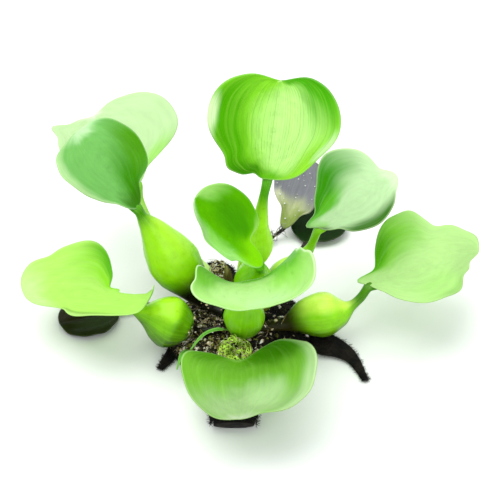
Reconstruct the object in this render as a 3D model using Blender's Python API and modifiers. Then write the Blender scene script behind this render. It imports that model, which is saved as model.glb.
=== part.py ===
# Water hyacinth, one rosette lifted out of the water and set down on a surface.
#
# Nine leaves grow from a short crown. Each leaf is a swollen stalk, its float,
# and a broad cupped blade. Under the crown a felt of roots lies flat and
# carries the plant. Three old leaves and the root tresses lie on the surface.
#
# Lengths below are millimetres and angles degrees. The model is in metres, +Z up.
# The origin is the middle of the root mat's flat underside.

import math

import bpy
import bmesh
from mathutils import Matrix, Vector

MM = 0.001

# Driving dimensions
BLADE_THICK = 1.2
OLD_BLADE_THICK = 1.0
BLADE_FACES = (4, 36)     # from the middle to the margin, round the margin
OLD_BLADE_FACES = (2, 18)
SEAM = 0.01               # points nearer than this are one point
CURL_SHARE = 0.25         # of the midrib, from the stalk on, that a curl bends
STALK_GAP = 2.0           # from the end of a stalk to its blade
FLOAT_RINGS = 11
FLOAT_SIDES = 12
THIN_RINGS = 7            # on old stalks and root tresses
THIN_SIDES = 8
MAT_RADIUS = 41.0
MAT_HEIGHT = 10.0
MAT_EDGE = 2.2
MAT_THINNEST = 1.8        # where a float presses on it
MAT_RINGS = 9
MAT_SPOKES = 32
MAT_STEP = MAT_RADIUS / MAT_RINGS
CLEARANCE = 0.9           # the mat keeps this far below the floats
TOUCH_GAP = 0.3           # between the crown and the mat that carries it

# One entry a leaf.
#   base     where the blade meets its stalk
#   heading  compass direction from stalk to tip, from +X towards +Y
#   pitch    rise of the midrib at the stalk; bend is added to it by the tip
#   roll     lifts the right side, seen from the stalk
#   radii    of the outline from the blade's middle, every 30 degrees, from
#            the stalk round by the right side to the tip and back by the left
#   curl     how far the midrib dips below its pitch right at the stalk
#   ears     pointed lobes, or notches below nought: direction as for the radii,
#            length, degrees to either side
#   cup      how far the left and the right margin turn up
#   stalk    x, y, z, radius of the float from the crown to the blade
LEAVES = {
    "top": dict(
        base=(14.5, 17.5, 97), heading=80.5, pitch=44, bend=-8, roll=0, cup=(22, 25),
        radii=(26, 27.5, 28.5, 35, 35.7, 33.8, 27.5, 33.5, 36.8, 34.6, 28.8, 28.7),
        ears=((316, 2.3, 8), (342, -3, 8)),
        stalk=((0, 15, 18, 3.6), (4, 25, 31, 5.5), (9.3, 25.5, 46, 8.6), (10.5, 23, 62, 5),
               (12.3, 18.5, 83, 2.6), (14.5, 17.5, 97, 2.2)),
        colour=(0.30, 0.62, 0.06)),
    "upper_left": dict(
        base=(-54, 24.5, 73), heading=140, pitch=42, bend=-16, roll=0, cup=(40, 45),
        radii=(27, 19, 22, 24, 26.5, 28, 25.2, 25.3, 30.5, 31, 24, 21.5),
        ears=((260, 1.8, 10),),
        stalk=((-8.5, 5, 15.5, 2.6), (-17, 11, 17.5, 4.6), (-29.5, 19.5, 29, 12), (-37.3, 22.5, 40, 14.2),
               (-46.3, 25, 57, 7.5), (-52, 25, 67, 3), (-54, 24.5, 73, 2.2)),
        colour=(0.22, 0.50, 0.10)),
    "back_left": dict(
        base=(-58, 69, 55), heading=122, pitch=22, bend=-6, roll=0, cup=(15, 25),
        radii=(27, 22, 27, 41, 44.5, 37.5, 26.3, 29, 32.5, 31, 27, 24),
        ears=((225, 7, 8),),
        stalk=((-5, 10.5, 12, 2.6), (-11, 26, 15.5, 3.8), (-24, 39, 18.5, 5.5), (-40, 49, 25, 8),
               (-52, 57, 34, 5), (-57, 65, 46, 2.8), (-58, 69, 55, 2.3)),
        colour=(0.62, 0.83, 0.45)),
    "back_right": dict(
        base=(43, 38, 49), heading=22, pitch=26, bend=0, roll=0, cup=(45, 20),
        radii=(26, 20.5, 23, 26.7, 24.3, 22.3, 25.5, 23.7, 33, 36, 27.8, 25),
        ears=((350, 6, 7),),
        stalk=((9.5, 7, 15.5, 3), (15.5, 14, 18, 4.6), (23, 24.5, 24.5, 8.2), (31.5, 32.5, 27.5, 6.2),
               (38.8, 37, 35.5, 2.6), (43, 38, 49, 2.2)),
        colour=(0.45, 0.75, 0.35)),
    "right": dict(
        base=(70, 9, 33), heading=18, pitch=8, bend=-8, roll=0, cup=(45, 15),
        radii=(25.5, 22.8, 26, 30, 30.5, 27.8, 39.5, 41.5, 35.8, 36, 26, 21),
        ears=((350, 7, 7), (250, 3, 10), (226, -4, 9), (197, 3.5, 9), (170, -4, 8)),
        stalk=((11, -3, 12.5, 2.6), (24, -2, 14, 4), (35.5, 0, 17, 10), (46, 1, 18.5, 12.2),
               (54, 2, 19.5, 8.6), (60, 3.2, 22.3, 3.2), (66, 6, 27, 2.4), (70, 9, 33, 2.2)),
        colour=(0.45, 0.78, 0.22)),
    "left": dict(
        base=(-46, -5, 41), heading=171, pitch=-1, bend=-8, roll=0, cup=(42, 38),
        radii=(42, 16, 22.5, 36, 39.5, 44, 34, 19.8, 15.5, 22.5, 28, 33),
        ears=((0, 5, 5), (12, -12, 8), (134, -3, 9), (346, 3, 7)), curl=80,
        stalk=((-9.5, -3, 12, 2.6), (-20, -5, 10.5, 2.6), (-26, -6, 12.5, 4),
               (-31, -6.2, 15.5, 10.4), (-38, -6, 19.2, 14.3), (-45, -6.4, 23, 10.8),
               (-51.5, -7, 26.6, 4.8), (-57, -6.5, 30.5, 2.2)),
        colour=(0.42, 0.80, 0.10)),
    "front_cup": dict(
        base=(5, -5, 47), heading=-92, pitch=22.3, bend=0, roll=-2.4, cup=(81, 51),
        radii=(21, 20, 31.5, 29, 32.5, 25.5, 20.5, 26.5, 40.5, 42, 42, 20.5),
        ears=((327, 25, 14), (289, -4, 12)),
        stalk=((1, -8, 17.5, 3.5), (1.6, -10.5, 21, 8.5), (2.3, -11, 26.5, 11), (3.2, -9.5, 34, 9),
               (4.5, -6.5, 42, 3.2), (5, -5, 47, 2.2)),
        colour=(0.45, 0.80, 0.30)),
    "inner": dict(
        base=(12, -1.5, 55), heading=162, pitch=35, bend=24, roll=25, cup=(75, 50),
        radii=(25, 14, 18.5, 21.5, 25.5, 29, 26.5, 17, 16.3, 15.8, 15.5, 14.5),
        stalk=((3, 6.5, 20, 3.5), (5, 8.5, 25, 7), (6.8, 9.4, 34, 10.1), (8, 7.4, 42, 8.4),
               (10, 3, 49, 3.2), (11.7, -0.6, 53.8, 1.8)),
        colour=(0.25, 0.62, 0.08)),
    "bottom": dict(
        base=(0.5, -41, 24.5), heading=-90, pitch=20, bend=-30, roll=0, cup=(55, 30),
        radii=(25.5, 35.3, 34.5, 29.3, 27, 25.5, 22.8, 23, 33.5, 42, 41.5, 43),
        ears=((250, 2, 9), (338, 5, 9)),
        stalk=((-1, -8, 10, 3.2), (-2.5, -20, 11, 3.6), (-2.5, -29, 15, 9), (-1.3, -36, 19, 4),
               (0, -39.6, 22.4, 1.9)),
        colour=(0.22, 0.60, 0.08)),
}

# Old leaves of the outer ring: a blade that has gone over, on a thin shrunken stalk.
OLD_LEAVES = {
    "dark_left": dict(
        base=(-67.5, 21, 3), heading=198, pitch=0, bend=0, roll=0, cup=(6, 8),
        radii=(17, 18, 18, 18, 18.5, 18, 17.5, 17, 16.5, 16, 16, 16),
        stalk=((-8.5, 2, 10.8, 1.4), (-22, 11, 9.5, 1.7), (-38, 20, 7, 1.7), (-53, 24, 3.8, 1.6),
               (-66.5, 21, 2.8, 1.5)),
        colour=(0.05, 0.04, 0.02)),
    "dark_back": dict(
        base=(38.5, 81, 3), heading=64, pitch=2, bend=0, roll=0, cup=(14, 10),
        radii=(19, 18, 18, 18, 17, 17, 17, 17, 16, 16, 17, 18),
        stalk=((7, 8.5, 10.8, 1.5), (16, 28, 8, 1.8), (22, 43, 5, 1.7), (30, 60, 3, 1.6),
               (38.5, 79, 3, 1.4)),
        colour=(0.03, 0.07, 0.02)),
    "withered_back": dict(
        base=(25.5, 88, 7), heading=62, pitch=38, bend=8, roll=0, cup=(35, 40),
        radii=(22, 14, 15, 17, 20, 22, 23, 22, 19, 15, 12, 12),
        stalk=((1.5, 10.5, 10.5, 1.4), (3.5, 28, 8.5, 1.5), (4.5, 47, 5, 1.3), (9, 71, 2.2, 1),
               (18, 84, 3, 0.9), (25.5, 88, 7, 1)),
        colour=(0.28, 0.27, 0.30)),
}

# Narrow young leaves at the foot of the front float: x, y, z and half width.
STRAP_LEAVES = {
    "strap_leaf": ((-6.5, -7.5, 14.5, 0.7), (-9, -13, 20, 1.1), (-13, -15, 21.6, 1.2),
                   (-18, -16.1, 20, 1.1), (-22, -18, 17, 0.9), (-26, -20.6, 12.6, 0.4)),
    "strap_leaf_low": ((-26, -16, 6.5, 0.4), (-28.5, -18.5, 9.5, 0.9), (-31, -24.5, 12, 1),
                       (-33, -32, 9, 0.4)),
}
STRAP_THICK = 0.7

# The papery brown scale beside the inner float: foot, top and half width.
SHEATH = ((-5.5, 12, 21), (-7.5, 15, 41), 3.2)
SHEATH_THICK = 0.6

# Detritus caught between the stalks behind the crown: x, y, z, radius.
DETRITUS = ((-10, 23.5, 20.5, 2.5), (-10.5, 23, 24, 4.4), (-11, 23, 31, 4.4), (-11.5, 23, 36, 1.5))

CROWN_RINGS = ((6.6, 6.0), (9.0, 7.2), (12.5, 6.5), (16.0, 4.2), (18.5, 2.0))   # height, radius

# Root tresses, flat tapering bundles on the surface: x, y and half width.
ROOT_TRESSES = {
    "root_tress_right": ((41.5, -5.5, 8), (48, -7, 8.2), (56, -11, 5.8), (62.3, -18.5, 3.2),
                         (66.8, -31.5, 1.6)),
    "root_tress_front": ((-4, -43.5, 9), (-4, -50, 11), (-3, -57, 13), (-3, -66.5, 12)),
    "root_tress_back": ((-13, 44, 10), (-13, 49, 10), (-13, 54, 9.5), (-12, 59, 8)),
    "root_tress_left": ((-38, -14, 3.2), (-39, -16.5, 2.8), (-40.5, -19.5, 2.2), (-42.5, -23, 1.2)),
}
TRESS_FLATNESS = 0.32


def clear_scene():
    for thing in list(bpy.data.objects):
        bpy.data.objects.remove(thing, do_unlink=True)


def make_collection(name):
    collection = bpy.data.collections.new(name)
    bpy.context.scene.collection.children.link(collection)
    return collection


def make_material(name, colour, roughness):
    material = bpy.data.materials.new(name)
    material.use_nodes = True
    shader = material.node_tree.nodes["Principled BSDF"]
    shader.inputs["Base Color"].default_value = (*colour, 1.0)
    shader.inputs["Roughness"].default_value = roughness
    shader.inputs["Metallic"].default_value = 0.0
    return material


def add_object(name, data, material):
    thing = bpy.data.objects.new(name, data)
    data.materials.append(material)
    plant.objects.link(thing)
    return thing


def smooth_value(values, place):
    """A smooth curve through a closed list of values; place counts in entries."""
    count = len(values)
    first = math.floor(place)
    t = place - first
    a, b, c, d = (values[(first + step) % count] for step in (-1, 0, 1, 2))
    return 0.5 * (2 * b + (c - a) * t + (2 * a - 5 * b + 4 * c - d) * t ** 2
                  + (3 * b - a - 3 * c + d) * t ** 3)


def smooth_path(stations, count):
    """Count points on a smooth curve through the stations, each with its width."""
    ends = [stations[0], *stations, stations[-1]]
    path = []
    for index in range(count):
        place = index / (count - 1) * (len(stations) - 1)
        first = min(int(place), len(stations) - 2)
        t = place - first
        a, b, c, d = (Vector(ends[first + step]) for step in range(4))
        path.append(0.5 * (2 * b + (c - a) * t + (2 * a - 5 * b + 4 * c - d) * t ** 2
                           + (3 * b - a - 3 * c + d) * t ** 3))
    return path


def walk_midrib(leaf, steps=48):
    """Points along the midrib with the forward direction there."""
    length = leaf["radii"][0] + leaf["radii"][6]
    heading = math.radians(leaf["heading"])
    spot = Vector(leaf["base"])
    midrib = []
    for step in range(steps + 1):
        rise = math.radians(leaf["pitch"] + leaf["bend"] * (step / steps) ** 1.5
                            - leaf.get("curl", 0) * max(1 - step / steps / CURL_SHARE, 0) ** 2)
        forward = Vector((math.cos(rise) * math.cos(heading),
                          math.cos(rise) * math.sin(heading), math.sin(rise)))
        midrib.append((spot.copy(), forward))
        spot += forward * (length / steps)
    return midrib


def flat_place(leaf, share, angle):
    """Where a point of the blade lies before it is bent: along and across.

    share runs from the blade's middle to its margin, angle from the stalk's
    side round by the right. Rings nearer the middle are rounder than the margin.
    """
    radii = leaf["radii"]
    mean = sum(radii) / len(radii)
    margin = smooth_value(radii, angle / 360 * len(radii))
    for ear_angle, ear_reach, ear_spread in leaf.get("ears", ()):
        off = (angle - ear_angle + 180) % 360 - 180
        margin += ear_reach * math.exp(-(off / ear_spread) ** 2)
    reach = share * (mean + (margin - mean) * share)
    turn = math.radians(angle)
    return radii[0] - reach * math.cos(turn), reach * math.sin(turn)


def blade_point(leaf, midrib, share, angle):
    """The blade's middle surface: bent along its midrib and cupped across."""
    radii = leaf["radii"]
    length = radii[0] + radii[6]
    along, across = flat_place(leaf, share, angle)
    steps = len(midrib) - 1
    place = min(max(along / length, 0.0), 1.0)
    first = min(int(place * steps), steps - 1)
    t = place * steps - first
    spot = midrib[first][0].lerp(midrib[first + 1][0], t)
    forward = midrib[first][1].lerp(midrib[first + 1][1], t).normalized()
    spot += forward * (along - place * length)

    heading = math.radians(leaf["heading"])
    side = Vector((math.sin(heading), -math.cos(heading), 0))
    turn = Matrix.Rotation(-math.radians(leaf["roll"]), 3, forward)
    side = turn @ side
    up = side.cross(forward)

    right = across >= 0
    half = radii[3] if right else radii[9]
    cup = math.radians(leaf["cup"][1 if right else 0]) * (1 - 0.4 * place)
    arc = cup * abs(across) / half
    chord = abs(across) * (math.sin(arc) / arc if arc > 0.001 else 1.0)
    lift = abs(across) * ((1 - math.cos(arc)) / arc if arc > 0.001 else 0.0)
    return spot + side * (chord if right else -chord) + up * lift


def add_blade(name, leaf, faces, thickness, material):
    """A blade: rings round its middle, bent into place and given their thickness."""
    midrib = walk_midrib(leaf)
    mesh = bpy.data.meshes.new(name)
    sheet = bmesh.new()
    bmesh.ops.create_grid(sheet, x_segments=faces[0], y_segments=faces[1], size=0.5)
    for vert in sheet.verts:
        vert.co = blade_point(leaf, midrib, vert.co.x + 0.5, 360 * (vert.co.y + 0.5)) * MM
    bmesh.ops.remove_doubles(sheet, verts=sheet.verts, dist=SEAM * MM)
    bmesh.ops.recalc_face_normals(sheet, faces=sheet.faces)
    sheet.to_mesh(mesh)
    sheet.free()
    mesh.shade_smooth()
    blade = add_object(name, mesh, material)
    shell = blade.modifiers.new("thickness", "SOLIDIFY")
    shell.thickness = thickness * MM
    shell.offset = 0.0
    return blade


def add_tube(name, path, material, sides=FLOAT_SIDES):
    """A round stem along a path whose points carry their own radius."""
    curve = bpy.data.curves.new(name, "CURVE")
    curve.dimensions = "3D"
    curve.bevel_depth = MM
    curve.bevel_resolution = (sides - 4) // 2
    curve.use_fill_caps = True
    spline = curve.splines.new("POLY")
    spline.points.add(len(path) - 1)
    for point, (x, y, z, radius) in zip(spline.points, path):
        point.co = (x * MM, y * MM, z * MM, 1.0)
        point.radius = radius
    spline.use_smooth = True
    return add_object(name, curve, material)


def stalk_path(leaf, rings):
    """The stalk's points, cut back at the top so that it stops short of the blade."""
    path = smooth_path(leaf["stalk"], rings)
    last, before = path[-1], path[-2]
    step = (last - before).to_3d()
    kept = before.to_3d() + step * (1 - STALK_GAP / step.length)
    path[-1] = Vector((*kept, last[3]))
    return path


def add_crown():
    """The short rhizome: a turned lump, lowest ring on the mat."""
    mesh = bpy.data.meshes.new("crown")
    profile = bmesh.new()
    outline = [(0.0, CROWN_RINGS[-1][0])]
    outline += [(radius, height) for height, radius in reversed(CROWN_RINGS)]
    outline += [(0.0, CROWN_RINGS[0][0])]
    verts = [profile.verts.new((x * MM, 0, z * MM)) for x, z in outline]
    for upper, lower in zip(verts, verts[1:]):
        profile.edges.new((upper, lower))
    profile.to_mesh(mesh)
    profile.free()
    crown = add_object("crown", mesh, make_material("rhizome", (0.16, 0.12, 0.05), 0.7))
    turned = crown.modifiers.new("turned", "SCREW")
    turned.steps = turned.render_steps = 16
    turned.use_merge_vertices = True
    turned.merge_threshold = 0.00005
    turned.use_smooth_shade = True
    return crown


def mat_ceiling(x, y, floats):
    """The highest that the mat may reach at a place, just below what is over it."""
    under_crown = math.hypot(x, y) < CROWN_RINGS[1][1] + MAT_STEP
    ceiling = CROWN_RINGS[0][0] - TOUCH_GAP if under_crown else MAT_HEIGHT
    for centre_x, centre_y, centre_z, radius in floats:
        reach = radius + CLEARANCE
        off = math.hypot(x - centre_x, y - centre_y)
        if off < reach:
            ceiling = min(ceiling, centre_z - math.sqrt(reach ** 2 - off ** 2))
    return ceiling


def mat_radius(angle):
    """The mat's uneven outline."""
    return MAT_RADIUS * (1 + 0.05 * math.sin(3 * angle + 0.6) + 0.04 * math.sin(5 * angle + 5.0))


def add_root_mat(floats):
    """A low mound of matted roots that nestles up between the floats."""
    mesh = bpy.data.meshes.new("root_mat")
    mound = bmesh.new()
    rings = []
    for ring in range(1, MAT_RINGS + 1):
        share = ring / MAT_RINGS
        verts = []
        for spoke in range(MAT_SPOKES):
            angle = 2 * math.pi * spoke / MAT_SPOKES
            reach = share * mat_radius(angle)
            x, y = reach * math.cos(angle), reach * math.sin(angle)
            lumps = 1 + 0.12 * math.sin(0.35 * x + 1.0) * math.sin(0.4 * y)
            height = MAT_EDGE + (MAT_HEIGHT - MAT_EDGE) * (1 - share ** 2) * lumps
            height = max(min(height, mat_ceiling(x, y, floats)), MAT_THINNEST)
            verts.append(mound.verts.new((x * MM, y * MM, height * MM)))
        rings.append(verts)
    middle = mound.verts.new((0, 0, mat_ceiling(0, 0, floats) * MM))
    floor_ring = [mound.verts.new((vert.co.x, vert.co.y, 0)) for vert in rings[-1]]
    for spoke in range(MAT_SPOKES):
        after = (spoke + 1) % MAT_SPOKES
        mound.faces.new((middle, rings[0][spoke], rings[0][after]))
        for inner, outer in zip(rings, rings[1:] + [floor_ring]):
            mound.faces.new((inner[spoke], outer[spoke], outer[after], inner[after]))
    mound.faces.new(list(reversed(floor_ring)))
    bmesh.ops.recalc_face_normals(mound, faces=mound.faces)
    mound.to_mesh(mesh)
    mound.free()
    return add_object("root_mat", mesh, make_material("root felt", (0.035, 0.03, 0.02), 0.9))


def add_tress(name, stations, material):
    """A flat bundle of roots: a tapering tube squashed onto the surface."""
    flat = [(x, y, 0, half) for x, y, half in stations]
    path = [(x, y, half + 0.2, half) for x, y, _, half in smooth_path(flat, THIN_RINGS)]
    tress = add_tube(name, path, material, sides=THIN_SIDES)
    tress.scale = (1, 1, TRESS_FLATNESS)
    return tress


def add_ribbon(name, stations, thickness, material, across=2):
    """A narrow leaf or scale: a grid along a path, hollowed a little across."""
    rows = 9
    path = smooth_path(stations, rows + 1)
    mesh = bpy.data.meshes.new(name)
    sheet = bmesh.new()
    bmesh.ops.create_grid(sheet, x_segments=rows, y_segments=across, size=0.5)
    for vert in sheet.verts:
        row = round((vert.co.x + 0.5) * rows)
        spot = path[row].to_3d()
        ahead = (path[min(row + 1, rows)] - path[max(row - 1, 0)]).to_3d().normalized()
        side = ahead.cross(Vector((0, 0, 1))).normalized()
        up = side.cross(ahead)
        v = 2 * vert.co.y
        vert.co = (spot + side * v * path[row][3] + up * 0.4 * path[row][3] * v * v) * MM
    bmesh.ops.recalc_face_normals(sheet, faces=sheet.faces)
    sheet.to_mesh(mesh)
    sheet.free()
    mesh.shade_smooth()
    ribbon = add_object(name, mesh, material)
    shell = ribbon.modifiers.new("thickness", "SOLIDIFY")
    shell.thickness = thickness * MM
    shell.offset = 0.0
    return ribbon


def add_sheath(name, foot, top, half, material):
    """A papery scale that stands beside a float, widest below its middle."""
    foot, top = Vector(foot), Vector(top)
    shares = ((0.0, 0.75), (0.3, 1.0), (0.7, 0.8), (1.0, 0.25))
    stations = [(*foot.lerp(top, share), half * width) for share, width in shares]
    return add_ribbon(name, stations, SHEATH_THICK, material)


clear_scene()
plant = make_collection("water_hyacinth")

float_green = make_material("float green", (0.36, 0.72, 0.03), 0.35)
old_stalk = make_material("shrunken stalk", (0.22, 0.20, 0.08), 0.7)
young_green = make_material("young green", (0.40, 0.70, 0.20), 0.4)
papery = make_material("papery brown", (0.38, 0.25, 0.12), 0.8)
root_black = make_material("root black", (0.02, 0.018, 0.012), 0.85)

float_beads = []
for name, leaf in LEAVES.items():
    path = stalk_path(leaf, FLOAT_RINGS)
    float_beads += smooth_path(leaf["stalk"], 3 * FLOAT_RINGS)
    add_tube(f"float_{name}", path, float_green)
    blade_green = make_material(f"blade {name}", leaf["colour"], 0.35)
    add_blade(f"blade_{name}", leaf, BLADE_FACES, BLADE_THICK, blade_green)

for name, leaf in OLD_LEAVES.items():
    path = stalk_path(leaf, THIN_RINGS)
    float_beads += smooth_path(leaf["stalk"], 6 * THIN_RINGS)
    add_tube(f"old_stalk_{name}", path, old_stalk, sides=THIN_SIDES)
    old_colour = make_material(f"old blade {name}", leaf["colour"], 0.5)
    add_blade(f"old_blade_{name}", leaf, OLD_BLADE_FACES, OLD_BLADE_THICK, old_colour)

for name, stations in STRAP_LEAVES.items():
    add_ribbon(name, stations, STRAP_THICK, young_green)

add_sheath("sheath", *SHEATH, papery)

add_crown()
add_root_mat(float_beads)

detritus_brown = make_material("detritus brown", (0.10, 0.08, 0.04), 0.9)
add_tube("detritus", smooth_path(DETRITUS, THIN_RINGS), detritus_brown, sides=THIN_SIDES)

for name, stations in ROOT_TRESSES.items():
    add_tress(name, stations, root_black)
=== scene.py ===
import random
from math import cos, hypot, pi, radians, sin, sqrt

import bpy
import numpy as np
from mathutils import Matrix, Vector, noise
from mathutils.bvhtree import BVHTree


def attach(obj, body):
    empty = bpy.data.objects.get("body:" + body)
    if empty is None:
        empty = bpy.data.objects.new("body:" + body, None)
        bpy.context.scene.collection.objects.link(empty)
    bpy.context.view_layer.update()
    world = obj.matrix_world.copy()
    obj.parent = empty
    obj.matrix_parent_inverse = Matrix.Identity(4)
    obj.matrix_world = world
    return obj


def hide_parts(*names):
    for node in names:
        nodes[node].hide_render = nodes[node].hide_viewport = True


# Water hyacinth on a pale table. Lengths are in millimetres but for the studio's, which are in metres.
# Angles are in degrees, colours 0-255 as picked on screen.

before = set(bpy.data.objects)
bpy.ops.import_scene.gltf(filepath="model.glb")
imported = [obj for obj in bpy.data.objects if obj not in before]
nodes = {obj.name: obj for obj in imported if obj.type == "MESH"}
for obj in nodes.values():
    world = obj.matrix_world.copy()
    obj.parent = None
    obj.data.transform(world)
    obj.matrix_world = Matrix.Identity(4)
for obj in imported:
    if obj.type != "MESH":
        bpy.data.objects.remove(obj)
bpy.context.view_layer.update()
mm = 0.001
print("frame loaded")


# colour and node helpers

def paint(colour):
    linear = [(c / 255 / 12.92) if c < 10.3 else ((c / 255 + 0.055) / 1.055) ** 2.4 for c in colour]
    return (*linear, 1.0)


def newTree(name):
    material = bpy.data.materials.new(name)
    material.use_nodes = True
    return material, material.node_tree


def add(tree, kind, inputs=None, **settings):
    node = tree.nodes.new("ShaderNode" + kind)
    for key, value in settings.items():
        setattr(node, key, value)
    for key, value in (inputs or {}).items():
        if isinstance(value, bpy.types.NodeSocket):
            tree.links.new(value, node.inputs[key])
        else:
            node.inputs[key].default_value = value
    return node


def calc(tree, operation, a, b=0.0, clamp=False):
    return add(tree, "Math", {0: a, 1: b}, operation=operation, use_clamp=clamp).outputs[0]


def plus(tree, a, b):
    return calc(tree, "ADD", a, b)


def times(tree, a, b, clamp=False):
    return calc(tree, "MULTIPLY", a, b, clamp)


def moved(tree, place, offset):
    return add(tree, "VectorMath", {0: place, 1: offset}, operation="ADD").outputs[0]


def stretched(tree, place, factors):
    return add(tree, "VectorMath", {0: place, 1: factors}, operation="MULTIPLY").outputs[0]


def ramp(tree, value, low, high, start=0.0, end=1.0):
    node = add(tree, "MapRange", {"Value": value, "From Min": low, "From Max": high,
                                  "To Min": start, "To Max": end}, interpolation_type="SMOOTHSTEP")
    return node.outputs["Result"]


def blend(tree, factor, a, b, mode="MIX"):
    # sockets 0, 6 and 7 of the Mix node are the factor and its two colours
    node = add(tree, "Mix", {0: factor, 6: a, 7: b}, data_type="RGBA", blend_type=mode)
    return node.outputs[2]


def tinted(tree, colour, value, low, high, strength, tint):
    # the tint over the colour, where the value lies above low
    return blend(tree, ramp(tree, value, low, high, 0.0, strength), colour, paint(tint))


def mottled(tree, colour, mottle, share, dark, light):
    return blend(tree, share, colour, blend(tree, mottle, paint(dark), paint(light)), "MULTIPLY")


def cloud(tree, place, scale, detail=3.0, stretch=(1, 1, 1)):
    spot = stretched(tree, place, stretch)
    return add(tree, "TexNoise", {"Vector": spot, "Scale": scale, "Detail": detail}).outputs["Fac"]


def finishShader(tree, colour, roughness, height, bumpDepth, gloss=0.3, coat=0.0, seeThrough=0.0, glow=None):
    shader = tree.nodes["Principled BSDF"]
    shader.inputs["Specular IOR Level"].default_value = gloss
    tree.links.new(colour, shader.inputs["Base Color"])
    tree.links.new(roughness, shader.inputs["Roughness"])
    bump = add(tree, "Bump", {"Height": height, "Strength": 0.6, "Distance": bumpDepth * mm})
    tree.links.new(bump.outputs[0], shader.inputs["Normal"])
    shader.inputs["Coat Weight"].default_value = coat
    shader.inputs["Coat Roughness"].default_value = 0.18
    if seeThrough:
        thin = add(tree, "BsdfTranslucent", {"Color": glow, "Normal": bump.outputs[0]})
        mixed = add(tree, "MixShader", {0: seeThrough, 1: shader.outputs[0], 2: thin.outputs[0]})
        tree.links.new(mixed.outputs[0], tree.nodes["Material Output"].inputs["Surface"])


# what each leaf's own dictionary leaves open
freshBlade = {
    "streaks": 0.22, "streakTint": (215, 245, 170), "shades": 0.0, "veins": 13, "veinTint": (70, 140, 20),
    "veinDepth": 0.1, "rimPale": 0.15, "rimTint": (225, 245, 190), "underTint": (165, 215, 110),
    "underMix": 0.55, "relief": 0.4, "roughness": 0.3, "gloss": 0.02, "coat": 0.0, "seeThrough": 0.2,
}
# float colours: side is the float's own lime, top a painted highlight on upward faces, under painted shade
# below, foot the stalk base's own brown, on several floats darkened further as painted shade among the roots
freshFloat = {
    "side": (140, 218, 0), "top": (200, 250, 80), "under": (80, 140, 4), "foot": (110, 100, 24),
    "footEnd": 0.18, "footFull": 0.3, "neck": (96, 180, 14), "neckStart": 0.72, "stripe": (165, 232, 40),
    "specks": 0.12, "shadeReach": -0.1, "gloss": 0.2, "coat": 0.05,
}


def leafMaterial(name, leaf):
    # leafPlace holds stalk-to-tip 0..1, left-to-right -1..1, and the share from middle to margin,
    # which is negative on the underside
    look = {**freshBlade, **leaf["blade"]}
    material, tree = newTree(name)
    place = add(tree, "Attribute", attribute_name="leafPlace").outputs["Vector"]
    along, across, rim = add(tree, "SeparateXYZ", {0: place}).outputs
    wobble = add(tree, "TexNoise", {"Vector": place, "Scale": 2.2, "Detail": 2.0}).outputs["Color"]
    wobble = stretched(tree, moved(tree, wobble, (-0.5, -0.5, -0.5)), (0.16, 0.34, 0))
    soft = moved(tree, place, wobble)
    colour = paint(look["base"])
    # colour zones: green ones are the blade's own tone, the pale whitish ones painted sky sheen and
    # highlights
    for (u, v), (halfU, halfV), tint, strength in leaf["patches"]:
        away = stretched(tree, moved(tree, soft, (-u, -v, 0)), (1 / halfU, 1 / halfV, 0))
        away = add(tree, "VectorMath", {0: away}, operation="LENGTH").outputs["Value"]
        colour = blend(tree, ramp(tree, away, 0.35, 1.3, strength, 0.0), colour, paint(tint))

    # long streaks between the veins, then the veins themselves
    streak = cloud(tree, place, 1.0, 4.0, (1.3, 20, 0))
    colour = tinted(tree, colour, streak, 0.42, 0.75, look["streaks"], look["streakTint"])
    shade = cloud(tree, place, 1.0, 2.0, (0.25, 38, 0))
    colour = tinted(tree, colour, shade, 0.46, 0.7, look["shades"], look["veinTint"])
    bent = plus(tree, across, times(tree, cloud(tree, place, 3.0), 0.015))
    fade = calc(tree, "SINE", times(tree, along, pi))
    fade = times(tree, fade, ramp(tree, cloud(tree, place, 1.0, 2.0, (2.2, 5, 9)), 0.38, 0.62))
    wave = calc(tree, "PINGPONG", times(tree, bent, look["veins"]), 0.5)
    vein = times(tree, ramp(tree, wave, 0.32, 0.5), fade, clamp=True)
    fineWave = calc(tree, "PINGPONG", times(tree, bent, look["veins"] * 2.7), 0.5)
    fine = times(tree, ramp(tree, fineWave, 0.25, 0.5), fade, clamp=True)
    for lines, depth in ((vein, look["veinDepth"]), (fine, look["veinDepth"] * 0.5)):
        colour = blend(tree, times(tree, lines, depth), colour, paint(look["veinTint"]))
    mottle = cloud(tree, place, 9.0, 5.0)
    colour = mottled(tree, colour, mottle, 0.35, (150, 160, 120), (255, 255, 235))

    # pale hard line round the margin, a painted highlight along the edge (a darker edge on the withered
    # leaf), paler matt underside
    colour = tinted(tree, colour, calc(tree, "ABSOLUTE", rim), 0.965, 0.995, look["rimPale"], look["rimTint"])
    under = calc(tree, "LESS_THAN", rim, 0.0)
    colour = blend(tree, times(tree, under, look["underMix"]), colour, paint(look["underTint"]))

    matt = plus(tree, look["roughness"] - 0.1, times(tree, under, 0.2))
    roughness = plus(tree, times(tree, mottle, 0.22), matt)
    height = plus(tree, times(tree, vein, 0.8), times(tree, fine, 0.35))
    height = plus(tree, times(tree, height, look["relief"]), times(tree, mottle, 0.4))
    glow = blend(tree, 1.0, colour, paint((255, 255, 120)), "MULTIPLY")
    finishShader(tree, colour, roughness, height, 0.3, look["gloss"], look["coat"], look["seeThrough"], glow)
    return material


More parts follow.
